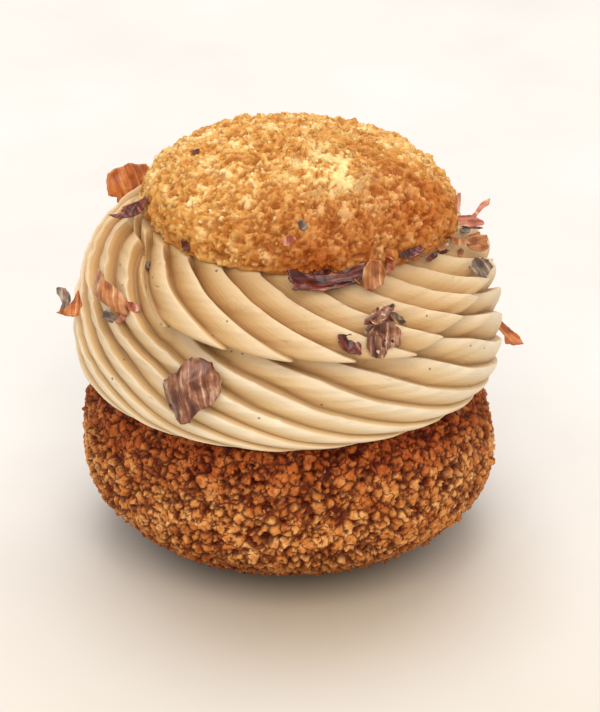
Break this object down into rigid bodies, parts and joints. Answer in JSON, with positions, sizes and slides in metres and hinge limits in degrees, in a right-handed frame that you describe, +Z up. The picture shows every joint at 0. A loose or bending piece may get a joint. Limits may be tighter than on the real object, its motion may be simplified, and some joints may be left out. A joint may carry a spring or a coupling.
{
  "type": "filled choux bun",
  "caption": "Crackle-topped choux bun, sliced and filled with a tall swirl of piped cream, with its small lid set on top and thin skin flakes scattered over the cream.",
  "frame": {"origin": "centre of the flat underside of the base, on the bun's upright axis", "axes": "+Z up; -Y towards the side where the two coils of cream part under the lid; +X to the right of that side"},
  "size_m": [0.0787, 0.0722, 0.0709],
  "materials": {
    "baked_base_crust": "rough, matt, browned crumbly crust",
    "praline_cream": "soft satin piped cream",
    "golden_lid_crust": "rough, matt, golden crumbly crust",
    "orange_skin": "thin papery nut skin, slight sheen",
    "dark_skin": "thin papery dark skin, slight sheen",
    "brown_skin": "thin papery brown skin, slight sheen"
  },
  "bodies": {
    "root": {"base": "baked_base_crust", "cream": "praline_cream", "lid": "golden_lid_crust", "flake_upright_back_left": "orange_skin", "flake_pointed_left": "dark_skin", "flake_long_left": "orange_skin", "flake_outer_left": "orange_skin", "flake_shell_front": "dark_skin", "flake_cluster_a": "dark_skin", "flake_cluster_b": "brown_skin", "flake_cluster_c": "dark_skin", "flake_under_lid": "dark_skin", "flake_glossy_front": "brown_skin", "flake_dark_right": "dark_skin", "flake_pink_right": "orange_skin", "flake_tan_right": "brown_skin", "flake_grey_right": "dark_skin", "flake_outer_right": "orange_skin"}
  },
  "joints": []
}
